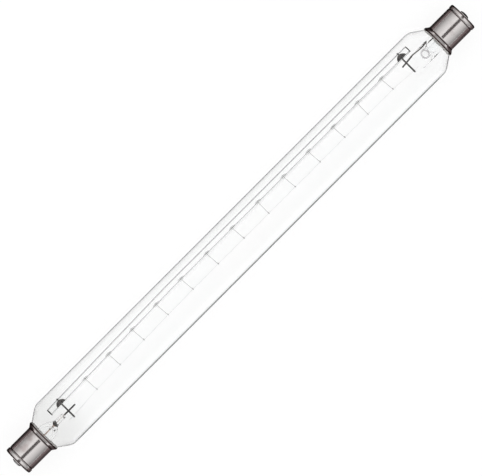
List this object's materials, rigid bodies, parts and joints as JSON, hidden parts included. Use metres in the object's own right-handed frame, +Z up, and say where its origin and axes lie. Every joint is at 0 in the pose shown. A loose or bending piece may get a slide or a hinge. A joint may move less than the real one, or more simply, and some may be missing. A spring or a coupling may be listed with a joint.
{
  "type": "tubular light bulb",
  "caption": "Clear double-ended tubular filament lamp: long glass tube with tapered shoulders, shell caps with end contacts, and a filament hooked along an inner glass rod.",
  "frame": {"origin": "middle of the lamp on the axis of its glass tube", "axes": "+X along the lamp to its right cap, +Y to the side of the inner support rod, +Z up, at the viewer"},
  "size_m": [0.3, 0.026, 0.026],
  "materials": {
    "clear_glass": "clear, polished",
    "cap_metal": "nickel-plated, satin",
    "solder": "dull solder",
    "cement": "matt",
    "post_cement": "matt, dark",
    "nickel_wire": "dark, slightly oxidised",
    "copper_wire": "copper, dull",
    "hook_wire": "drawn wire, grey",
    "tungsten": "drawn wire, grey"
  },
  "bodies": {
    "root": {"glass_envelope": "clear_glass", "left_cap_shell": "cap_metal", "right_cap_shell": "cap_metal", "left_contact": "solder", "right_contact": "solder", "left_capping_cement": "cement", "right_capping_cement": "cement", "left_stem": "clear_glass", "right_stem": "clear_glass", "exhaust_tube": "clear_glass", "support_rod": "clear_glass", "left_inner_lead": "nickel_wire", "right_inner_lead": "nickel_wire", "left_post": "nickel_wire", "right_post": "nickel_wire", "left_post_bead": "post_cement", "right_post_bead": "post_cement", "left_seal_wire": "copper_wire", "right_seal_wire": "copper_wire", "left_outer_lead": "copper_wire", "right_outer_lead": "copper_wire", "filament": "tungsten", "support_hook_01": "hook_wire", "support_hook_02": "hook_wire", "support_hook_03": "hook_wire", "support_hook_04": "hook_wire", "support_hook_05": "hook_wire", "support_hook_06": "hook_wire", "support_hook_07": "hook_wire", "support_hook_08": "hook_wire", "support_hook_09": "hook_wire", "support_hook_10": "hook_wire", "support_hook_11": "hook_wire", "support_hook_12": "hook_wire", "support_hook_13": "hook_wire"}
  },
  "joints": []
}
